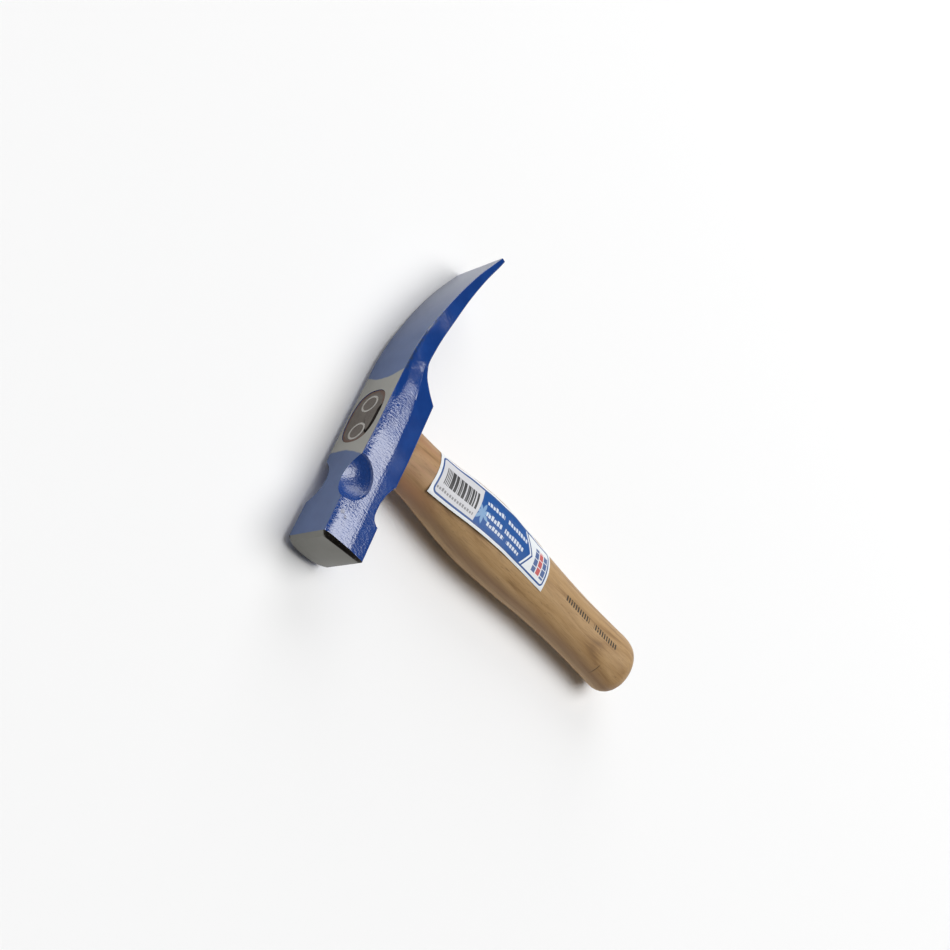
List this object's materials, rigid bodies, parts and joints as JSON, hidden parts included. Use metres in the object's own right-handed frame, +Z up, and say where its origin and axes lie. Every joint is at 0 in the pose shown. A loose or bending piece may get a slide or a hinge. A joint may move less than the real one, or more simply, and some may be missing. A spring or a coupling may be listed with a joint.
{
  "type": "brick hammer",
  "caption": "Short brick hammer: square striking face, waisted poll, long curved chisel blade, and an oval wooden handle held in the eye by ring wedges.",
  "frame": {"origin": "on the surface that the hammer lies on, under the middle of its bounding box", "axes": "+X from the handle towards the striking face, +Y from the crown of the head down the handle to its butt, +Z up across the cheeks of the head"},
  "size_m": [0.221, 0.2594, 0.0358],
  "materials": {
    "painted_forged_steel": "gloss paint over forged steel",
    "hickory": "satin lacquer",
    "ring_steel": "ground flush",
    "label_paper": "gloss print"
  },
  "bodies": {
    "root": {"head": "painted_forged_steel", "handle": "hickory", "ring_wedge_poll_side": "ring_steel", "ring_wedge_blade_side": "ring_steel", "label": "label_paper"}
  },
  "joints": []
}
